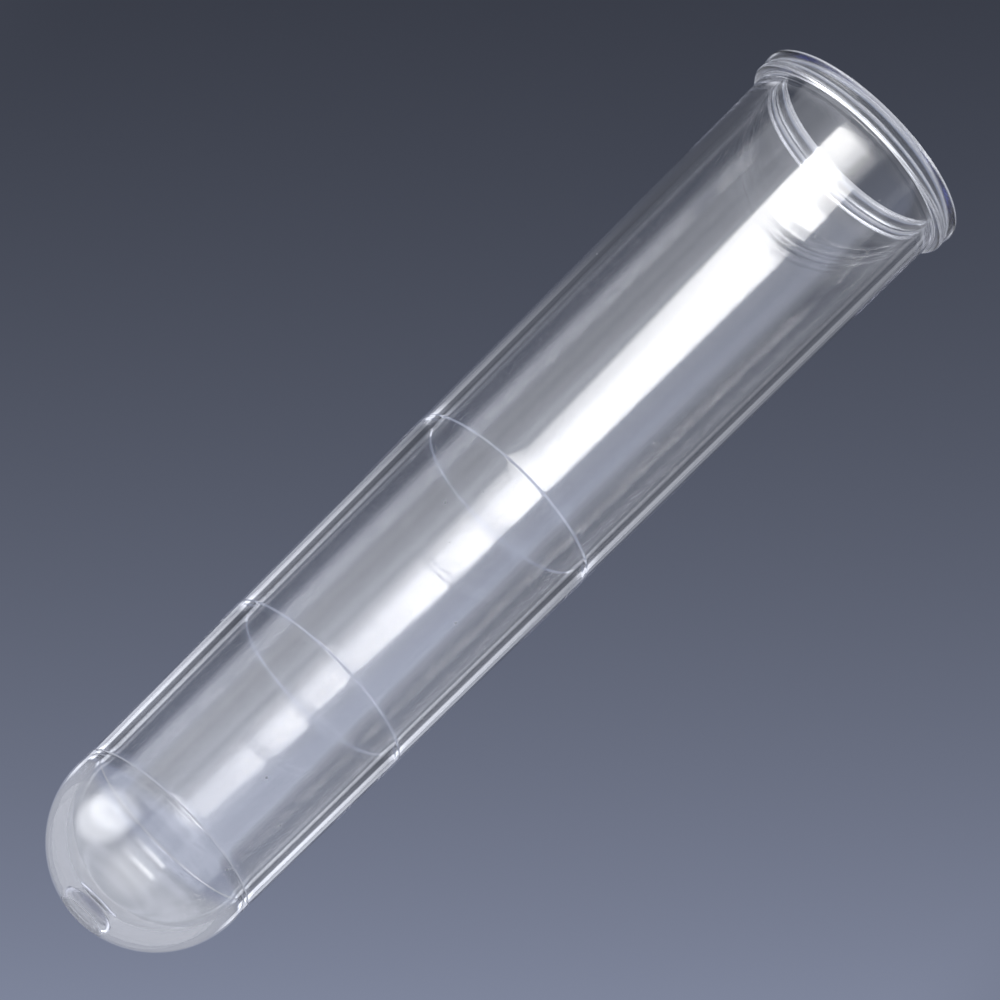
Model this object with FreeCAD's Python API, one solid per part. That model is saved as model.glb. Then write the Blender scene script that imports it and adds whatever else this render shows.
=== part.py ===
"""A clear moulded test tube: round bottom, tapered barrel with two moulded filling lines, beaded rim.

Millimetres. +Z runs up the axis to the mouth, and the origin is the middle of the small flat gate pad at
the outer pole of the round bottom. The tube is a single moulding, so the solids below are its zones.
They meet face to face: at the lines that the mould leaves on the wall, which are the seam above the
round bottom and the two filling lines, round the two beads of the rim, and round the marks at the two
poles of the bottom.
"""
import FreeCAD, Part
import math
import os

Vector = FreeCAD.Vector

# Heights above the flat of the gate pad
BOTTOM_CENTRE_Z = 7.03
SEAM_Z = 8.05
LOW_LINE_Z = 22.25
HIGH_LINE_Z = 40.05
FLANGE_Z = 73.6
GROOVE_Z = 74.27
TOP_Z = 75.35

# Outside: a half-round bottom, then a draft of about 0.6 degrees, with a small inward step at each line
BOTTOM_RADIUS = 7.18
DRAFT = 0.0109
LINE_STEP = 0.02

# Inside of the tube
WALL = 0.85
BOTTOM_WALL = 1.3
MOUTH_RADIUS = 6.98
MOUTH_LAND = 5.0

# Rim: a thin flange bead under a taller lip bead
FLANGE_RADIUS = 8.45
FLANGE_FLAT_RADIUS = 8.17
GROOVE_RADIUS = 8.3
LIP_RADIUS = 8.5
LIP_ROUND = 0.4

# Pole of the bottom: gate pad outside, core pin mark inside
GATE_PAD_RADIUS = 1.7
GATE_PAD_DEPTH = 0.4
CORE_MARK_RADIUS = 1.57
CORE_MARK_HEIGHT = 0.2


def barrel_radius(z):
    """Outside radius of the barrel at height z, without the steps at the moulded lines."""
    return BOTTOM_RADIUS + DRAFT * (z - SEAM_Z)


def point(radius, z):
    """A point of a half-section, in the XZ plane."""
    return Vector(radius, 0, z)


def line(start, end):
    return Part.LineSegment(point(*start), point(*end)).toShape()


def arc(start, middle, end):
    return Part.Arc(point(*start), point(*middle), point(*end)).toShape()


def revolve(edges):
    """Turn a closed half-section about the tube's axis into a solid."""
    face = Part.Face(Part.Wire(edges))
    return face.revolve(Vector(0, 0, 0), Vector(0, 0, 1), 360)


def round_point(centre, radius, degrees):
    """A point on a round of a half-section. The angle counts from the outward direction, up being 90."""
    angle = math.radians(degrees)
    return (centre[0] + radius * math.cos(angle), centre[1] + radius * math.sin(angle))


NECK_RADIUS = barrel_radius(FLANGE_Z)
SEAM_INNER_RADIUS = BOTTOM_RADIUS - WALL
LAND_START_Z = TOP_Z - LIP_ROUND - MOUTH_LAND


def bore_radius(z):
    """Inside radius at height z: straight draft from the seam up to the mouth's cylindrical land."""
    share = (z - SEAM_Z) / (LAND_START_Z - SEAM_Z)
    return SEAM_INNER_RADIUS + share * (MOUTH_RADIUS - SEAM_INNER_RADIUS)


INNER_DOME_CENTRE_Z = BOTTOM_WALL + SEAM_INNER_RADIUS


def dome_height(radius, dome_radius, centre_z):
    """Height of a dome that is open upwards, at a distance from the axis."""
    return centre_z - math.sqrt(dome_radius**2 - radius**2)


def make_round_bottom():
    """The dome up to the seam, with a seat for the gate pad and for the core pin mark."""
    pad_edge_z = dome_height(GATE_PAD_RADIUS, BOTTOM_RADIUS, BOTTOM_CENTRE_Z)
    mark_edge_z = dome_height(CORE_MARK_RADIUS, SEAM_INNER_RADIUS, INNER_DOME_CENTRE_Z)
    outer_middle = round_point((0, BOTTOM_CENTRE_Z), BOTTOM_RADIUS, -45)
    inner_middle = round_point((0, INNER_DOME_CENTRE_Z), SEAM_INNER_RADIUS, -45)
    return revolve([
        line((0, GATE_PAD_DEPTH), (GATE_PAD_RADIUS, GATE_PAD_DEPTH)),
        line((GATE_PAD_RADIUS, GATE_PAD_DEPTH), (GATE_PAD_RADIUS, pad_edge_z)),
        arc((GATE_PAD_RADIUS, pad_edge_z), outer_middle, (BOTTOM_RADIUS, BOTTOM_CENTRE_Z)),
        line((BOTTOM_RADIUS, BOTTOM_CENTRE_Z), (BOTTOM_RADIUS, SEAM_Z)),
        line((BOTTOM_RADIUS, SEAM_Z), (SEAM_INNER_RADIUS, SEAM_Z)),
        line((SEAM_INNER_RADIUS, SEAM_Z), (SEAM_INNER_RADIUS, INNER_DOME_CENTRE_Z)),
        arc((SEAM_INNER_RADIUS, INNER_DOME_CENTRE_Z), inner_middle, (CORE_MARK_RADIUS, mark_edge_z)),
        line((CORE_MARK_RADIUS, mark_edge_z), (0, mark_edge_z)),
        line((0, mark_edge_z), (0, GATE_PAD_DEPTH)),
    ])


def make_gate_pad():
    """The round pad left at the outer pole where the mould was filled."""
    return Part.makeCylinder(GATE_PAD_RADIUS, GATE_PAD_DEPTH)


def make_core_mark():
    """The low round mark that the tip of the core pin leaves at the inner pole."""
    seat_z = dome_height(CORE_MARK_RADIUS, SEAM_INNER_RADIUS, INNER_DOME_CENTRE_Z)
    return Part.makeCylinder(CORE_MARK_RADIUS, CORE_MARK_HEIGHT, point(0, seat_z))


def make_barrel(low_z, high_z, outer_low, outer_high):
    """One straight stretch of tapered wall between two moulded lines."""
    return revolve([
        line((bore_radius(low_z), low_z), (outer_low, low_z)),
        line((outer_low, low_z), (outer_high, high_z)),
        line((outer_high, high_z), (bore_radius(high_z), high_z)),
        line((bore_radius(high_z), high_z), (bore_radius(low_z), low_z)),
    ])


def make_upper_barrel():
    """The stretch up to the mouth: its bore ends in the cylindrical land that a stopper seals on."""
    round_z = TOP_Z - LIP_ROUND
    inner_centre = (MOUTH_RADIUS + LIP_ROUND, round_z)
    return revolve([
        line((bore_radius(HIGH_LINE_Z), HIGH_LINE_Z), (barrel_radius(HIGH_LINE_Z), HIGH_LINE_Z)),
        line((barrel_radius(HIGH_LINE_Z), HIGH_LINE_Z), (NECK_RADIUS, FLANGE_Z)),
        line((NECK_RADIUS, FLANGE_Z), (NECK_RADIUS, TOP_Z)),
        line((NECK_RADIUS, TOP_Z), (inner_centre[0], TOP_Z)),
        arc((inner_centre[0], TOP_Z), round_point(inner_centre, LIP_ROUND, 135), (MOUTH_RADIUS, round_z)),
        line((MOUTH_RADIUS, round_z), (MOUTH_RADIUS, LAND_START_Z)),
        line((MOUTH_RADIUS, LAND_START_Z), (bore_radius(HIGH_LINE_Z), HIGH_LINE_Z)),
    ])


def make_flange_ring():
    """The thin lower bead, flat underneath, that hangs on the edge of a rack hole."""
    bead_middle = (FLANGE_RADIUS, (FLANGE_Z + GROOVE_Z) / 2)
    return revolve([
        line((NECK_RADIUS, FLANGE_Z), (FLANGE_FLAT_RADIUS, FLANGE_Z)),
        arc((FLANGE_FLAT_RADIUS, FLANGE_Z), bead_middle, (GROOVE_RADIUS, GROOVE_Z)),
        line((GROOVE_RADIUS, GROOVE_Z), (NECK_RADIUS, GROOVE_Z)),
        line((NECK_RADIUS, GROOVE_Z), (NECK_RADIUS, FLANGE_Z)),
    ])


def make_lip_ring():
    """The taller upper bead, which swells from the groove to a rounded top edge."""
    round_z = TOP_Z - LIP_ROUND
    outer_centre = (LIP_RADIUS - LIP_ROUND, round_z)
    swell = (GROOVE_RADIUS + 0.75 * (LIP_RADIUS - GROOVE_RADIUS), (GROOVE_Z + round_z) / 2)
    return revolve([
        line((NECK_RADIUS, GROOVE_Z), (GROOVE_RADIUS, GROOVE_Z)),
        arc((GROOVE_RADIUS, GROOVE_Z), swell, (LIP_RADIUS, round_z)),
        arc((LIP_RADIUS, round_z), round_point(outer_centre, LIP_ROUND, 45), (outer_centre[0], TOP_Z)),
        line((outer_centre[0], TOP_Z), (NECK_RADIUS, TOP_Z)),
        line((NECK_RADIUS, TOP_Z), (NECK_RADIUS, GROOVE_Z)),
    ])


def make_parts():
    """Every zone of the moulding by name, from the bottom up."""
    step = LINE_STEP
    return {
        "gate_pad": make_gate_pad(),
        "round_bottom": make_round_bottom(),
        "core_mark": make_core_mark(),
        "lower_barrel": make_barrel(
            SEAM_Z, LOW_LINE_Z, barrel_radius(SEAM_Z) - step, barrel_radius(LOW_LINE_Z) + step),
        "middle_barrel": make_barrel(
            LOW_LINE_Z, HIGH_LINE_Z, barrel_radius(LOW_LINE_Z), barrel_radius(HIGH_LINE_Z) + step),
        "upper_barrel": make_upper_barrel(),
        "flange_ring": make_flange_ring(),
        "lip_ring": make_lip_ring(),
    }


os.makedirs("parts", exist_ok=True)
for name, shape in make_parts().items():
    shape.exportStep(os.path.join("parts", name + ".step"))
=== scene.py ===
"""The looks of a clear moulded test tube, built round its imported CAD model.

The plastic is one continuous moulding, so a single lathed wall stands for all the CAD zones: outside,
rim, inside and both poles share one closed surface, with no hidden faces for light to catch on.
Lengths in the shape section are millimetres, as on a drawing. Blender's own units are metres.
"""
import math

import bpy
from mathutils import Matrix, Vector


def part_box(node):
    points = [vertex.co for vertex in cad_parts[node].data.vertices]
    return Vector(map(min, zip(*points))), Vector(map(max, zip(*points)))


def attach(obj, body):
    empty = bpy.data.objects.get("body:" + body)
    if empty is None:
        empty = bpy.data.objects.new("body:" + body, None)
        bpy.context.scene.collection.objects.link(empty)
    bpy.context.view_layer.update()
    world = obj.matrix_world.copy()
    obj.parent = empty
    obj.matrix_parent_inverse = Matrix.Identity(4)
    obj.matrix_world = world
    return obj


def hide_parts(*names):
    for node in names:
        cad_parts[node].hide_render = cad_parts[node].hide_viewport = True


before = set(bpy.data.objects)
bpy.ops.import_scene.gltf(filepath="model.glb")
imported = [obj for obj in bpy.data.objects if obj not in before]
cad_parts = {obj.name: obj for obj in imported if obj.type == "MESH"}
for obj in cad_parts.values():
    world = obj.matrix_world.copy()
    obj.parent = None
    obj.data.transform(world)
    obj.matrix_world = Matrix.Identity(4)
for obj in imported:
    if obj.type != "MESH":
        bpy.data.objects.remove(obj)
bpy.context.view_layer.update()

MM = 0.001

# ---------------------------------------------------------------- shape, in millimetres


def low_z(node):
    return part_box(node)[0].z / MM


def high_z(node):
    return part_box(node)[1].z / MM


def outer_radius(node):
    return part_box(node)[1].x / MM


SEAM_Z = low_z("lower_barrel")
LOW_LINE_Z = low_z("middle_barrel")
HIGH_LINE_Z = low_z("upper_barrel")
FLANGE_Z = low_z("flange_ring")
GROOVE_Z = low_z("lip_ring")
TOP_Z = high_z("lip_ring")
BOTTOM_RADIUS = outer_radius("round_bottom")
NECK_RADIUS = outer_radius("upper_barrel")
FLANGE_RADIUS = outer_radius("flange_ring")
LIP_RADIUS = outer_radius("lip_ring")
PAD_RADIUS = outer_radius("gate_pad")
MARK_RADIUS = outer_radius("core_mark")
MARK_TOP_Z = high_z("core_mark")

BOTTOM_CENTRE_Z = 7.03
WALL = 0.85
BOTTOM_WALL = 1.3
MOUTH_RADIUS = 6.98
MOUTH_LAND = 5.0
LIP_ROUND = 0.4
GROOVE_RADIUS = 8.3
STEP = 0.02
STEP_HEIGHT = 0.24
SEAM_BEAD = 0.012
FLARE = 0.035
FLANGE_FOOT = 0.12
GROOVE_HALF = 0.04
POLE_RING = 0.25
AROUND = 264


def straight(start, end, count):
    """Points from start up to, but not including, end."""
    return [
        (start[0] + (end[0] - start[0]) * i / count, start[1] + (end[1] - start[1]) * i / count)
        for i in range(count)
    ]


def round_off(centre, radius, start_degrees, end_degrees, count):
    """Points on an arc, without the last one. Angles count from outwards, up being 90."""
    points = []
    for i in range(count):
        angle = math.radians(start_degrees + (end_degrees - start_degrees) * i / count)
        points.append((centre[0] + radius * math.cos(angle), centre[1] + radius * math.sin(angle)))
    return points


def draft_radius(z):
    """Outside radius of the barrel without the small steps at the moulded lines."""
    return BOTTOM_RADIUS + (NECK_RADIUS - BOTTOM_RADIUS) * (z - SEAM_Z) / (FLANGE_Z - SEAM_Z)


def smooth_step(x):
    x = min(1.0, max(0.0, x))
    return x * x * (3 - 2 * x)


def blend(start, end, count):
    """A soft rise between two levels, without the last point."""
    points = []
    for i in range(count):
        share = i / count
        z = start[1] + (end[1] - start[1]) * smooth_step(share)
        points.append((start[0] + (end[0] - start[0]) * share, z))
    return points


def stretch(z_start, z_end, radius_start, radius_end, count):
    """A stretch of barrel that flares very slightly towards its upper end."""
    points = []
    for i in range(count):
        share = i / count
        flare = FLARE * (share**4 - share)
        radius = radius_start + (radius_end - radius_start) * share + flare
        points.append((radius, z_start + (z_end - z_start) * share))
    return points


def ledge(z, radius_below, radius_above, bead, count):
    """The soft step that a joint in the mould leaves round the wall, with a low bead along it."""
    points = []
    for i in range(count):
        share = i / count
        radius = radius_below + (radius_above - radius_below) * smooth_step(share)
        radius += bead * math.sin(math.pi * share) ** 2
        points.append((radius, z + (share - 0.5) * STEP_HEIGHT))
    return points


def outside():
    """The gate pad, the dome and the barrel with its three moulded lines, up to the rim."""
    half = STEP_HEIGHT / 2
    pad_flat, pad_foot = PAD_RADIUS - 0.2, PAD_RADIUS + 0.15
    foot_z = BOTTOM_CENTRE_Z - math.sqrt(BOTTOM_RADIUS**2 - pad_foot**2)
    foot_angle = -math.degrees(math.acos(pad_foot / BOTTOM_RADIUS))
    points = straight((POLE_RING, 0.0), (pad_flat, 0.0), 8)
    points += blend((pad_flat, 0.0), (pad_foot, foot_z), 14)
    points += round_off((0, BOTTOM_CENTRE_Z), BOTTOM_RADIUS, foot_angle, 0, 60)
    points += straight((BOTTOM_RADIUS, BOTTOM_CENTRE_Z), (BOTTOM_RADIUS, SEAM_Z - half), 3)
    lines = [SEAM_Z, LOW_LINE_Z, HIGH_LINE_Z]
    for z, z_next in zip(lines, lines[1:] + [FLANGE_Z]):
        below = BOTTOM_RADIUS if z == SEAM_Z else draft_radius(z) + STEP
        start = draft_radius(z) - (STEP if z == SEAM_Z else 0)
        end = draft_radius(z_next) + (STEP if z_next != FLANGE_Z else 0)
        points += ledge(z, below, start, SEAM_BEAD if z == SEAM_Z else 0, 12)
        points += stretch(z + half, z_next - (half if z_next != FLANGE_Z else 0), start, end, 24)
    return points


def rim():
    """The flange bead, the groove, the lip bead and the rounded top edge, over into the mouth."""
    foot = FLANGE_FOOT
    mid_z = (FLANGE_Z + GROOVE_Z) / 2
    bead = (GROOVE_Z - FLANGE_Z) / 2
    bead_end = math.degrees(math.acos((GROOVE_RADIUS - FLANGE_RADIUS + bead) / bead))
    points = round_off((NECK_RADIUS + foot, FLANGE_Z - foot), foot, 180, 90, 6)
    points += straight((NECK_RADIUS + foot, FLANGE_Z), (FLANGE_RADIUS - bead, FLANGE_Z), 3)
    points += round_off((FLANGE_RADIUS - bead, mid_z), bead, -90, bead_end, 16)
    round_z = TOP_Z - LIP_ROUND
    lip_start = GROOVE_Z + GROOVE_HALF
    points += straight((GROOVE_RADIUS, GROOVE_Z - GROOVE_HALF), (GROOVE_RADIUS, lip_start), 3)
    for i in range(10):
        share = i / 10
        swell = math.sin(share * math.pi / 2)
        radius = GROOVE_RADIUS + (LIP_RADIUS - GROOVE_RADIUS) * swell
        points.append((radius, lip_start + (round_z - lip_start) * share))
    points += round_off((LIP_RADIUS - LIP_ROUND, round_z), LIP_ROUND, 0, 90, 12)
    points += straight((LIP_RADIUS - LIP_ROUND, TOP_Z), (MOUTH_RADIUS + LIP_ROUND, TOP_Z), 4)
    points += round_off((MOUTH_RADIUS + LIP_ROUND, round_z), LIP_ROUND, 90, 180, 12)
    return points


def inside():
    """The mouth's cylindrical land, the drafted bore, the inner dome and the mark at its pole."""
    inner = BOTTOM_RADIUS - WALL
    dome_z = BOTTOM_WALL + inner
    land_z = TOP_Z - LIP_ROUND - MOUTH_LAND
    mark_foot, mark_top = MARK_RADIUS + 0.08, MARK_RADIUS - 0.12
    mark_seat_z = dome_z - math.sqrt(inner**2 - mark_foot**2)
    mark_angle = -math.degrees(math.acos(mark_foot / inner))
    points = straight((MOUTH_RADIUS, TOP_Z - LIP_ROUND), (MOUTH_RADIUS, land_z), 8)
    points += straight((MOUTH_RADIUS, land_z), (inner, SEAM_Z), 16)
    points += straight((inner, SEAM_Z), (inner, dome_z), 3)
    points += round_off((0, dome_z), inner, 0, mark_angle, 56)
    points += blend((mark_foot, mark_seat_z), (mark_top, MARK_TOP_Z), 16)
    points += straight((mark_top, MARK_TOP_Z), (POLE_RING, MARK_TOP_Z), 8)
    points.append((POLE_RING, MARK_TOP_Z))
    return points


def lathe(name, profile):
    """Turn a half-section that starts and ends near the axis into one closed, smooth mesh."""
    vertices = []
    for radius, z in profile:
        for j in range(AROUND):
            angle = 2 * math.pi * j / AROUND
            vertices.append((radius * math.cos(angle) * MM, radius * math.sin(angle) * MM, z * MM))
    faces = []
    for i in range(len(profile) - 1):
        for j in range(AROUND):
            k = (j + 1) % AROUND
            low, high = i * AROUND, (i + 1) * AROUND
            faces.append((low + j, low + k, high + k, high + j))
    for ring, flip in ((0, True), (len(profile) - 1, False)):
        centre = len(vertices)
        vertices.append((0.0, 0.0, profile[ring][1] * MM))
        for j in range(AROUND):
            a, b = ring * AROUND + j, ring * AROUND + (j + 1) % AROUND
            faces.append((centre, b, a) if flip else (centre, a, b))
    mesh = bpy.data.meshes.new(name)
    mesh.from_pydata(vertices, [], faces)
    mesh.validate()
    mesh.shade_smooth()
    piece = bpy.data.objects.new(name, mesh)
    bpy.context.scene.collection.objects.link(piece)
    return piece


# ---------------------------------------------------------------- materials

REFRACTION = 1.59
PAD_MATTE = 0.4
MARK_MATTE = 0.15
BEAD_MATTE = 0.19


class Nodes:
    """Short calls for building a node tree."""

    def __init__(self, tree):
        self.tree = tree
        tree.nodes.clear()

    def add(self, kind, inputs=None, **settings):
        node = self.tree.nodes.new(kind)
        for key, value in settings.items():
            setattr(node, key, value)
        for key, value in (inputs or {}).items():
            if isinstance(value, bpy.types.NodeSocket):
                self.tree.links.new(value, node.inputs[key])
            else:
                node.inputs[key].default_value = value
        return node

    def math(self, operation, a, b=0.0):
        return self.add("ShaderNodeMath", {0: a, 1: b}, operation=operation).outputs[0]

    def ramp(self, value, low, high, to_low=0.0, to_high=1.0):
        """Smooth change from to_low to to_high as value goes from low to high."""
        node = self.add(
            "ShaderNodeMapRange",
            {"Value": value, "From Min": low, "From Max": high, "To Min": to_low, "To Max": to_high},
            interpolation_type="SMOOTHSTEP",
        )
        return node.outputs["Result"]

    def clamped(self, value, low, high, to_low, to_high):
        """Straight change from to_low to to_high as value goes from low to high, level outside."""
        return self.add("ShaderNodeMapRange", {
            "Value": value, "From Min": low, "From Max": high, "To Min": to_low, "To Max": to_high,
        }).outputs["Result"]

    def window(self, value, low, high, soft):
        """One between low and high, falling smoothly to nothing outside them."""
        rise = self.ramp(value, low - soft, low + soft)
        fall = self.ramp(value, high - soft, high + soft, 1.0, 0.0)
        return self.math("MULTIPLY", rise, fall)


def matte_spots(n, place):
    """Extra roughness where the mould isn't polished: gate pad, core mark and the outside of the rim."""
    flat = n.add("ShaderNodeMapping", {"Vector": place, "Scale": (1, 1, 0)}).outputs[0]
    off_axis = n.add("ShaderNodeVectorMath", {0: flat}, operation="LENGTH").outputs["Value"]
    height = n.add("ShaderNodeSeparateXYZ", {0: place}).outputs["Z"]
    pad = n.ramp(height, 0.03 * MM, 0.09 * MM, 1.0, 0.0)
    near_pole = n.ramp(off_axis, 1.3 * MM, 1.7 * MM, 1.0, 0.0)
    mark = n.math("MULTIPLY", near_pole, n.ramp(height, 0.9 * MM, 1.1 * MM))
    outer_skin = n.ramp(off_axis, 7.2 * MM, 7.6 * MM)
    beads = n.math("MULTIPLY", outer_skin, n.ramp(height, 73.3 * MM, 73.7 * MM))
    poles = n.math("ADD", n.math("MULTIPLY", pad, PAD_MATTE), n.math("MULTIPLY", mark, MARK_MATTE))
    return n.math("ADD", poles, n.math("MULTIPLY", beads, BEAD_MATTE))


def clear_plastic():
    """Polystyrene: polished, with faint moulding streaks along the wall and a few specks in its skin."""
    material = bpy.data.materials.new("clear_plastic")
    material.use_nodes = True
    n = Nodes(material.node_tree)
    place = n.add("ShaderNodeTexCoord").outputs["Object"]
    along = n.add("ShaderNodeMapping", {"Vector": place, "Scale": (2600, 2600, 9)}).outputs[0]
    streaks = n.add("ShaderNodeTexNoise", {"Vector": along, "Scale": 1.0, "Detail": 1.0}).outputs[0]
    cells = n.add("ShaderNodeTexVoronoi", {"Vector": place, "Scale": 520.0})
    chosen = n.ramp(n.add("ShaderNodeSeparateColor", {0: cells.outputs["Color"]}).outputs[0], 0.86, 0.88)
    specks = n.math("MULTIPLY", n.ramp(cells.outputs["Distance"], 0.03, 0.08, 1.0, 0.0), chosen)
    polish = n.ramp(streaks, 0.35, 0.75, 0.012, 0.04)
    roughness = n.math("ADD", polish, n.math("MULTIPLY", specks, 0.3))
    roughness = n.math("ADD", roughness, matte_spots(n, place))
    height = n.math("ADD", streaks, n.math("MULTIPLY", specks, 0.5))
    bump = n.add("ShaderNodeBump", {"Height": height, "Strength": 0.012, "Distance": 0.0001}).outputs[0]
    shader = n.add("ShaderNodeBsdfPrincipled", {
        "Base Color": (1.0, 1.0, 1.0, 1.0), "Roughness": roughness, "IOR": REFRACTION,
        "Transmission Weight": 1.0, "Normal": bump,
    })
    volume = n.add("ShaderNodeVolumeAbsorption", {"Color": (0.68, 0.72, 0.95, 1.0), "Density": 28.0})
    output = n.add("ShaderNodeOutputMaterial")
    n.tree.links.new(shader.outputs[0], output.inputs["Surface"])
    n.tree.links.new(volume.outputs[0], output.inputs["Volume"])
    return material


def pale_floor():
    """Plain pale paper."""
    material = bpy.data.materials.new("pale_floor")
    material.use_nodes = True
    n = Nodes(material.node_tree)
    shader = n.add("ShaderNodeBsdfPrincipled", {
        "Base Color": (0.58, 0.585, 0.6, 1.0), "Roughness": 0.9,
    })
    output = n.add("ShaderNodeOutputMaterial")
    n.tree.links.new(shader.outputs[0], output.inputs["Surface"])
    return material


# ---------------------------------------------------------------- studio

CAMERA_AZIMUTH = 20.0
CAMERA_TILT = 17.0
CAMERA_ROLL = 45.36
CAMERA_DISTANCE = 0.7548
CAMERA_LENS = 414.0
AIM_Z = 39.9
AIM_ASIDE = -0.11
SLATE_LEVEL = 0.245
SLATE_FALL = 0.185
ROOM_GLOW = 0.04
SOFT_COLOUR = (0.905, 0.93, 1.0, 1.0)
KEY_COLOUR = (1.0, 0.985, 0.96, 1.0)
SLATE_COLOUR = (0.89, 1.0, 1.38, 1.0)
CARD_COLOUR = (0.97, 0.98, 1.0, 1.0)
CARD_AIM_Z = 7.0
FLOOR_HALF_SIZE = 2.2
FLOOR_Z = -0.3


def camera_axes():
    """Level direction from the tube to the camera, level right, and the picture's right, up and back."""
    a, tilt, roll = (math.radians(x) for x in (CAMERA_AZIMUTH, CAMERA_TILT, CAMERA_ROLL))
    toward, right = Vector((math.sin(a), -math.cos(a), 0)), Vector((math.cos(a), math.sin(a), 0))
    back = toward * math.cos(tilt) - Vector((0, 0, math.sin(tilt)))
    up = toward * math.sin(tilt) + Vector((0, 0, math.cos(tilt)))
    picture_right = up * math.sin(roll) + right * math.cos(roll)
    picture_up = up * math.cos(roll) - right * math.sin(roll)
    return toward, right, picture_right, picture_up, back


def make_camera():
    """Below the tube, looking up along it, and rolled so that the mouth points to the upper right."""
    toward, right, picture_right, picture_up, back = camera_axes()
    aim = Vector((0, 0, AIM_Z * MM)) + right * AIM_ASIDE * MM
    place = Matrix((picture_right, picture_up, back)).transposed().to_4x4()
    place.translation = aim + back * CAMERA_DISTANCE
    data = bpy.data.cameras.new("camera")
    data.lens = CAMERA_LENS
    data.clip_start, data.clip_end = 0.01, 20.0
    camera = bpy.data.objects.new("camera", data)
    camera.matrix_world = place
    bpy.context.scene.collection.objects.link(camera)
    bpy.context.scene.camera = camera


def wide_light(n, turn, height):
    """A broad soft box across the front, darker at its right end, and a dim box beyond it."""
    ribs = n.add("ShaderNodeTexNoise", {"W": turn, "Scale": 0.35, "Detail": 2.0}, noise_dimensions="1D")
    ribbed = n.ramp(ribs.outputs[0], 0.3, 0.7, 0.9, 1.1)
    level = n.math("MULTIPLY", n.ramp(height, 12.5, 19.5, 1.7, 0.85), ribbed)
    side = n.math("MULTIPLY", n.window(turn, 64.0, 120.0, 6.0), 0.4)
    dip = n.math("MULTIPLY", n.window(turn, 26.0, 62.0, 5.0), -0.5)
    spread = n.math("ADD", n.window(turn, -88.0, 66.0, 3.0), n.math("ADD", side, dip))
    return n.math("MULTIPLY", n.math("MULTIPLY", spread, level), n.window(height, 7.0, 42.0, 4.0))


def key_light(n, turn, height):
    """A bright panel left of the middle: a sharp slanting edge on its left, a long fade on its right."""
    left_edge = n.math("MULTIPLY", n.math("MINIMUM", n.math("SUBTRACT", height, 12.45), 5.65), -5.25)
    inside_edge = n.math("SUBTRACT", turn, left_edge)
    fade = n.clamped(turn, -14.0, 26.0, 1.0, 0.0)
    panel = n.math("MULTIPLY", n.math("MULTIPLY", n.ramp(inside_edge, -1.6, 1.8), fade), 8.0)
    panel = n.math("MULTIPLY", panel, n.math("POWER", n.clamped(height, 13.4, 18.0, 0.0, 1.0), 2.7))
    return n.math("MULTIPLY", panel, n.ramp(height, 25.0, 21.0))


def skirt_light(n, turn, height):
    """The paler cloth round the bright panel, and a low strip that reaches further left."""
    cloth = n.math("MULTIPLY", n.window(turn, -46.0, 8.0, 3.0), 0.5)
    cloth = n.math("ADD", cloth, n.window(turn, -34.0, 8.0, 4.0))
    cloth = n.math("MULTIPLY", cloth, n.ramp(height, 12.5, 16.5, 0.3, 0.9))
    strip = n.math("MULTIPLY", n.window(turn, -68.0, -27.0, 4.0), n.ramp(height, 13.6, 17.0, 0.8, 0.3))
    return n.math("MULTIPLY", n.math("ADD", cloth, strip), n.ramp(height, 25.0, 21.0))


def upper_light(n, turn, height):
    """A high box on the left, a dimmer one on the right, and an open bright ceiling."""
    left = n.math("MULTIPLY", n.window(turn, -150.0, -28.0, 6.0), 1.2)
    right = n.math("MULTIPLY", n.window(turn, 40.0, 150.0, 8.0), 0.5)
    boxes = n.math("MULTIPLY", n.math("ADD", left, right), n.window(height, 24.0, 50.0, 3.0))
    ceiling = n.math("MULTIPLY", n.ramp(height, 48.0, 58.0), n.ramp(height, 58.0, 68.0, 1.3, 0.38))
    return n.math("ADD", boxes, ceiling)


def rear_light(n, turn, height):
    """Bounce from both sides of the backdrop, which fades upwards, and its pale foot."""
    left = n.math("MULTIPLY", n.window(turn, -158.0, -146.0, 2.0), n.ramp(height, 13.2, 18.5, 1.7, 0.0))
    right = n.math("MULTIPLY", n.window(turn, 145.0, 157.0, 2.0), n.ramp(height, 13.2, 18.5, 1.6, 0.3))
    sides = n.math("MULTIPLY", n.math("ADD", left, right), n.ramp(height, 7.0, 12.5))
    return n.math("ADD", sides, n.math("MULTIPLY", n.ramp(height, 13.3, 1.0), 0.3))


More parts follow.
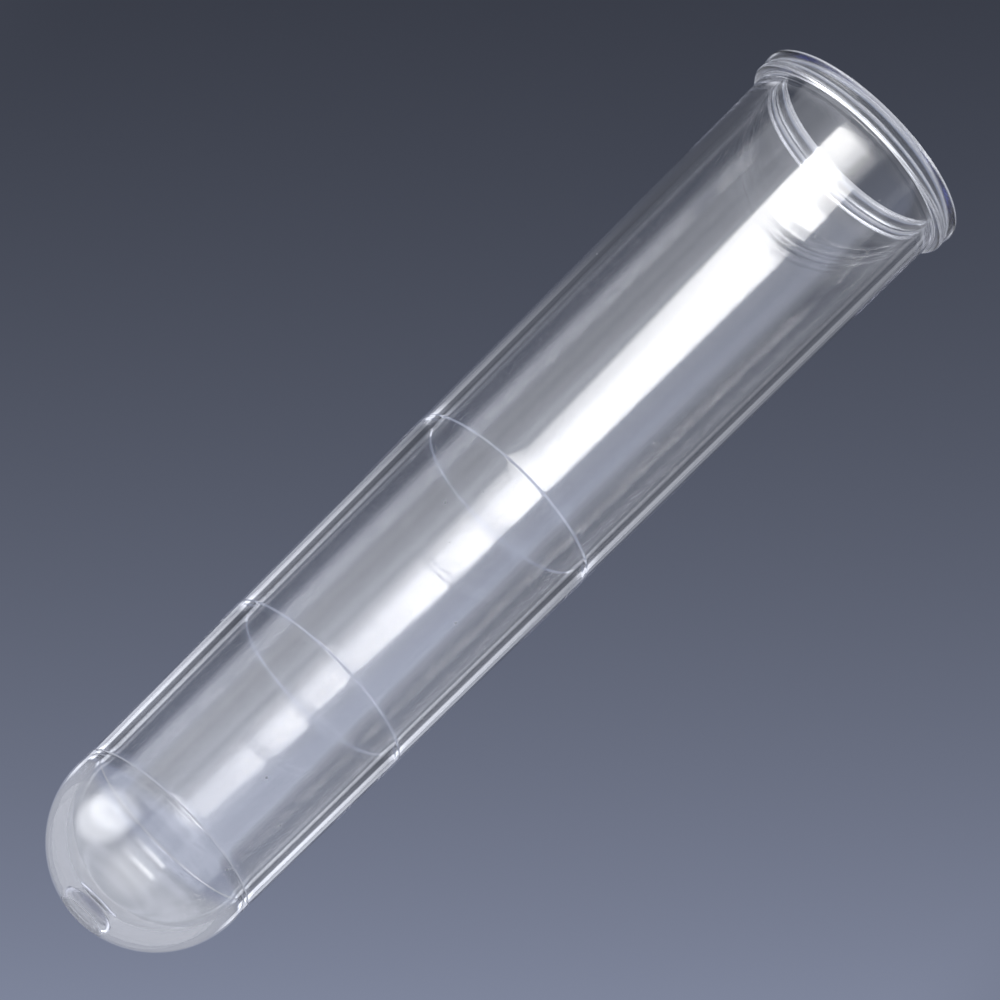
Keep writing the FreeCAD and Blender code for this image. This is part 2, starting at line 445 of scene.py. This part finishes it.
def make_world():
    """Soft boxes round the tube, painted by direction, and the slate backdrop behind it.

    A direction's turn is its level angle from the camera, in degrees, positive to the camera's right. Its
    height is its angle above the horizon.
    """
    world = bpy.data.worlds.new("studio")
    world.use_nodes = True
    bpy.context.scene.world = world
    n = Nodes(world.node_tree)
    toward, right, picture_right, picture_up, back = camera_axes()
    direction = n.add("ShaderNodeTexCoord").outputs["Generated"]

    def share_of(axis):
        product = n.add("ShaderNodeVectorMath", {0: direction, 1: axis}, operation="DOT_PRODUCT")
        return product.outputs["Value"]

    turn = n.math("DEGREES", n.math("ARCTAN2", share_of(right), share_of(toward)))
    height = n.math("DEGREES", n.math("ARCSINE", share_of(Vector((0, 0, 1)))))
    room = n.ramp(share_of(back), -0.985, -0.96, 0.0, ROOM_GLOW)
    glow = n.math("ADD", wide_light(n, turn, height), room)
    for part in (skirt_light, upper_light, rear_light):
        glow = n.math("ADD", glow, part(n, turn, height))
    panel = key_light(n, turn, height)
    aside = share_of(right)
    off_middle = n.ramp(n.math("ABSOLUTE", aside), 0.054, 0.09)
    lean = math.sin(math.radians(CAMERA_ROLL))
    evened = n.math("MULTIPLY", n.math("MULTIPLY", aside, off_middle), lean)
    fade = n.clamped(n.math("ADD", share_of(picture_up), evened), -0.046, 0.046, 0.0, 1.0)
    slate = n.math("MULTIPLY", n.math("POWER", SLATE_FALL, fade), SLATE_LEVEL)
    slate = n.math("MULTIPLY", slate, n.ramp(height, 3.0, 12.0, 0.35, 1.0))
    soft = n.add("ShaderNodeEmission", {"Color": SOFT_COLOUR, "Strength": glow})
    key = n.add("ShaderNodeEmission", {"Color": KEY_COLOUR, "Strength": panel})
    base = n.add("ShaderNodeEmission", {"Color": SLATE_COLOUR, "Strength": slate})
    lights = n.add("ShaderNodeAddShader", {0: soft.outputs[0], 1: key.outputs[0]})
    both = n.add("ShaderNodeAddShader", {0: lights.outputs[0], 1: base.outputs[0]})
    n.add("ShaderNodeOutputWorld", {"Surface": both.outputs[0]})


def glowing_card(strength, core):
    """A soft box's face: bright inside its core, a share of its size, and fading to nothing at the rim."""
    material = bpy.data.materials.new("soft_box")
    material.use_nodes = True
    n = Nodes(material.node_tree)
    place = n.add("ShaderNodeTexCoord").outputs["Object"]
    off_centre = n.add("ShaderNodeVectorMath", {0: place}, operation="LENGTH").outputs["Value"]
    face = n.add("ShaderNodeEmission", {"Color": CARD_COLOUR, "Strength": strength})
    clear = n.add("ShaderNodeBsdfTransparent")
    mix = n.add("ShaderNodeMixShader", {
        0: n.ramp(off_centre, core, 1.0, 1.0, 0.0), 1: clear.outputs[0], 2: face.outputs[0],
    })
    n.add("ShaderNodeOutputMaterial", {"Surface": mix.outputs[0]})
    return material


def make_card(name, turn, height, distance, half_width, half_height, strength, core):
    """An oval soft box that faces the foot of the tube from a level angle and a height in degrees."""
    toward, right, *_ = camera_axes()
    turn, height = math.radians(turn), math.radians(height)
    level = toward * math.cos(turn) + right * math.sin(turn)
    normal = level * math.cos(height) + Vector((0, 0, math.sin(height)))
    aside = Vector((0, 0, 1)).cross(normal).normalized()
    count = 48
    ring = [2 * math.pi * i / count for i in range(count)]
    mesh = bpy.data.meshes.new(name)
    mesh.from_pydata([(math.cos(a), math.sin(a), 0) for a in ring], [], [tuple(range(count))])
    card = bpy.data.objects.new(name, mesh)
    place = Matrix((aside * half_width, normal.cross(aside) * half_height, normal)).transposed().to_4x4()
    place.translation = Vector((0, 0, CARD_AIM_Z * MM)) + normal * distance
    card.matrix_world = place
    bpy.context.scene.collection.objects.link(card)
    mesh.materials.append(glowing_card(strength, core))


def make_floor():
    """A pale floor well below the tube."""
    mesh = bpy.data.meshes.new("floor")
    size, z = FLOOR_HALF_SIZE, FLOOR_Z
    corners = [(-size, -size, z), (size, -size, z), (size, size, z), (-size, size, z)]
    mesh.from_pydata(corners, [], [(0, 1, 2, 3)])
    floor = bpy.data.objects.new("floor", mesh)
    bpy.context.scene.collection.objects.link(floor)
    mesh.materials.append(pale_floor())


# ---------------------------------------------------------------- assembly

make_camera()
make_world()
make_floor()
make_card(
    "card_left", turn=-68, height=-27, distance=0.3,
    half_width=0.23, half_height=0.14, strength=5.5, core=0.5,
)
make_card(
    "card_low", turn=5, height=-57, distance=0.22,
    half_width=0.15, half_height=0.165, strength=2.6, core=0.25,
)
tube = lathe("tube_wall", outside() + rim() + inside())
tube.data.materials.append(clear_plastic())
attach(tube, "root")
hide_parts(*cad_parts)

scene = bpy.context.scene
scene.view_settings.view_transform = "Standard"
scene.cycles.transmission_bounces = 24
scene.cycles.max_bounces = 32
scene.cycles.glossy_bounces = 24
